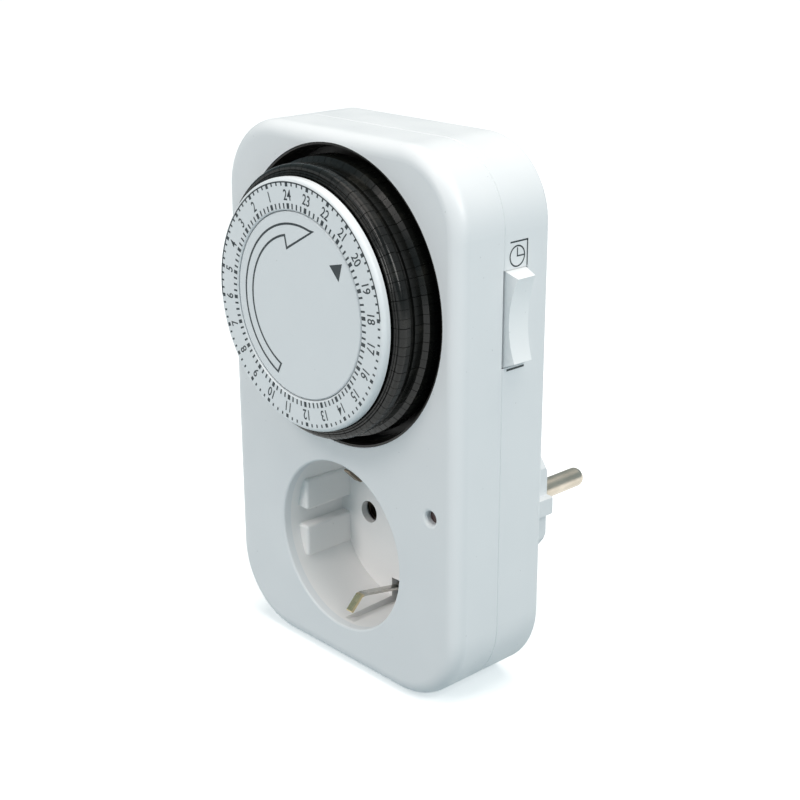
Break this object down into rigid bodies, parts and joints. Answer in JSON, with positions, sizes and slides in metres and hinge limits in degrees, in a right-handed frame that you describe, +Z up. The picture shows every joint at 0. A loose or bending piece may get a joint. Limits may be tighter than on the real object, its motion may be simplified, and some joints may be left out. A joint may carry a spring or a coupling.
{
  "type": "programmable timer",
  "caption": "Plug-in mechanical day timer: upright rounded housing, protruding tappet dial, recessed earthed socket below, side rocker, and a two-pin plug on the back.",
  "frame": {"origin": "centre of the plug's end face, between the two pins", "axes": "+Y along the plug pins into the wall, +Z up the housing towards the dial, +X right as seen from the front"},
  "size_m": [0.0776, 0.0811, 0.1219],
  "materials": {
    "housing_plastic": "satin",
    "dial_plastic": "satin",
    "black_plastic": "satin",
    "dark_liner": "matt",
    "grey_plastic": "matt",
    "nickel_plated_brass": "polished",
    "brass": "satin",
    "steel": "brushed",
    "acetal": "satin",
    "red_lens": "glossy",
    "lamp_glass": "glossy"
  },
  "bodies": {
    "housing": {"front_shell": "housing_plastic", "socket_cup": "housing_plastic", "rear_shell": "housing_plastic", "plug_body": "housing_plastic", "case_screws": "steel", "pin_live": "nickel_plated_brass", "pin_neutral": "nickel_plated_brass", "contact_live": "brass", "contact_neutral": "brass", "contact_carrier": "grey_plastic", "earth_spring_upper": "nickel_plated_brass", "earth_spring_lower": "nickel_plated_brass", "live_strip": "brass", "load_strip": "brass", "dial_well": "dark_liner", "mechanism_plate": "grey_plastic", "plate_screws": "steel", "spindle": "grey_plastic", "centre_disc": "dial_plastic", "idler_arbor": "steel", "motor_case": "steel", "motor_cover": "steel", "lever_pin": "steel", "microswitch_body": "black_plastic", "rocker_bracket": "grey_plastic", "indicator_lens": "red_lens", "indicator_lamp": "lamp_glass"},
    "dial": {"number_ring": "dial_plastic", "segment_carrier": "black_plastic", "dial_gear": "acetal", "dial_clip": "steel"},
    "tappet_group_01": {"tappets_01": "black_plastic"},
    "tappet_group_02": {"tappets_02": "black_plastic"},
    "tappet_group_03": {"tappets_03": "black_plastic"},
    "tappet_group_04": {"tappets_04": "black_plastic"},
    "tappet_group_05": {"tappets_05": "black_plastic"},
    "tappet_group_06": {"tappets_06": "black_plastic"},
    "tappet_group_07": {"tappets_07": "black_plastic"},
    "tappet_group_08": {"tappets_08": "black_plastic"},
    "tappet_group_09": {"tappets_09": "black_plastic"},
    "tappet_group_10": {"tappets_10": "black_plastic"},
    "tappet_group_11": {"tappets_11": "black_plastic"},
    "tappet_group_12": {"tappets_12": "black_plastic"},
    "tappet_group_13": {"tappets_13": "black_plastic"},
    "tappet_group_14": {"tappets_14": "black_plastic"},
    "tappet_group_15": {"tappets_15": "black_plastic"},
    "tappet_group_16": {"tappets_16": "black_plastic"},
    "tappet_group_17": {"tappets_17": "black_plastic"},
    "tappet_group_18": {"tappets_18": "black_plastic"},
    "tappet_group_19": {"tappets_19": "black_plastic"},
    "tappet_group_20": {"tappets_20": "black_plastic"},
    "tappet_group_21": {"tappets_21": "black_plastic"},
    "tappet_group_22": {"tappets_22": "black_plastic"},
    "tappet_group_23": {"tappets_23": "black_plastic"},
    "tappet_group_24": {"tappets_24": "black_plastic"},
    "idler": {"idler_gear": "acetal"},
    "motor_rotor": {"motor_pinion": "brass"},
    "follower": {"follower_lever": "acetal"},
    "plunger": {"microswitch_plunger": "acetal"},
    "rocker": {"rocker": "housing_plastic"}
  },
  "joints": [
    {"name": "dial_turn", "type": "hinge", "parent": "housing", "child": "dial", "pos_m": [0, -0.0523, 0.05785], "axis": [0, 1, 0], "continuous": true},
    {"name": "tappets_01_press", "type": "slide", "parent": "dial", "child": "tappet_group_01", "axis": [0, 1, 0], "range_m": [0, 0.003]},
    {"name": "tappets_02_press", "type": "slide", "parent": "dial", "child": "tappet_group_02", "axis": [0, 1, 0], "range_m": [0, 0.003]},
    {"name": "tappets_03_press", "type": "slide", "parent": "dial", "child": "tappet_group_03", "axis": [0, 1, 0], "range_m": [0, 0.003]},
    {"name": "tappets_04_press", "type": "slide", "parent": "dial", "child": "tappet_group_04", "axis": [0, 1, 0], "range_m": [0, 0.003]},
    {"name": "tappets_05_press", "type": "slide", "parent": "dial", "child": "tappet_group_05", "axis": [0, 1, 0], "range_m": [0, 0.003]},
    {"name": "tappets_06_press", "type": "slide", "parent": "dial", "child": "tappet_group_06", "axis": [0, 1, 0], "range_m": [0, 0.003]},
    {"name": "tappets_07_press", "type": "slide", "parent": "dial", "child": "tappet_group_07", "axis": [0, 1, 0], "range_m": [0, 0.003]},
    {"name": "tappets_08_press", "type": "slide", "parent": "dial", "child": "tappet_group_08", "axis": [0, 1, 0], "range_m": [0, 0.003]},
    {"name": "tappets_09_press", "type": "slide", "parent": "dial", "child": "tappet_group_09", "axis": [0, 1, 0], "range_m": [0, 0.003]},
    {"name": "tappets_10_press", "type": "slide", "parent": "dial", "child": "tappet_group_10", "axis": [0, 1, 0], "range_m": [0, 0.003]},
    {"name": "tappets_11_press", "type": "slide", "parent": "dial", "child": "tappet_group_11", "axis": [0, 1, 0], "range_m": [0, 0.003]},
    {"name": "tappets_12_press", "type": "slide", "parent": "dial", "child": "tappet_group_12", "axis": [0, 1, 0], "range_m": [0, 0.003]},
    {"name": "tappets_13_press", "type": "slide", "parent": "dial", "child": "tappet_group_13", "axis": [0, 1, 0], "range_m": [0, 0.003]},
    {"name": "tappets_14_press", "type": "slide", "parent": "dial", "child": "tappet_group_14", "axis": [0, 1, 0], "range_m": [0, 0.003]},
    {"name": "tappets_15_press", "type": "slide", "parent": "dial", "child": "tappet_group_15", "axis": [0, 1, 0], "range_m": [0, 0.003]},
    {"name": "tappets_16_press", "type": "slide", "parent": "dial", "child": "tappet_group_16", "axis": [0, 1, 0], "range_m": [0, 0.003]},
    {"name": "tappets_17_press", "type": "slide", "parent": "dial", "child": "tappet_group_17", "axis": [0, 1, 0], "range_m": [0, 0.003]},
    {"name": "tappets_18_press", "type": "slide", "parent": "dial", "child": "tappet_group_18", "axis": [0, 1, 0], "range_m": [0, 0.003]},
    {"name": "tappets_19_press", "type": "slide", "parent": "dial", "child": "tappet_group_19", "axis": [0, 1, 0], "range_m": [0, 0.003]},
    {"name": "tappets_20_press", "type": "slide", "parent": "dial", "child": "tappet_group_20", "axis": [0, 1, 0], "range_m": [0, 0.003]},
    {"name": "tappets_21_press", "type": "slide", "parent": "dial", "child": "tappet_group_21", "axis": [0, 1, 0], "range_m": [0, 0.003]},
    {"name": "tappets_22_press", "type": "slide", "parent": "dial", "child": "tappet_group_22", "axis": [0, 1, 0], "range_m": [0, 0.003]},
    {"name": "tappets_23_press", "type": "slide", "parent": "dial", "child": "tappet_group_23", "axis": [0, 1, 0], "range_m": [0, 0.003]},
    {"name": "tappets_24_press", "type": "slide", "parent": "dial", "child": "tappet_group_24", "axis": [0, 1, 0], "range_m": [0, 0.003]},
    {"name": "idler_spin", "type": "hinge", "parent": "housing", "child": "idler", "pos_m": [-0.01782, -0.0413, 0.04003], "axis": [0, 1, 0], "continuous": true},
    {"name": "motor_spin", "type": "hinge", "parent": "housing", "child": "motor_rotor", "pos_m": [-0.02057, -0.0393, 0.05417], "axis": [0, 1, 0], "continuous": true},
    {"name": "follower_swing", "type": "hinge", "parent": "housing", "child": "follower", "pos_m": [0.0225, -0.0401, 0.066], "axis": [1, 0, 0], "range_deg": [-5, 0]},
    {"name": "plunger_press", "type": "slide", "parent": "housing", "child": "plunger", "axis": [0, 1, 0], "range_m": [0, 0.00052]},
    {"name": "rocker_tilt", "type": "hinge", "parent": "housing", "child": "rocker", "pos_m": [0.0338, -0.0363, 0.0583], "axis": [0, 1, 0], "range_deg": [-6, 0]}
  ],
  "couplings": [
    {"joint": "idler_spin", "follows": "dial_turn", "ratio": -6},
    {"joint": "motor_spin", "follows": "dial_turn", "ratio": 18},
    {"joint": "follower_swing", "follows": "plunger_press", "rad_per_m": -166.67}
  ]
}
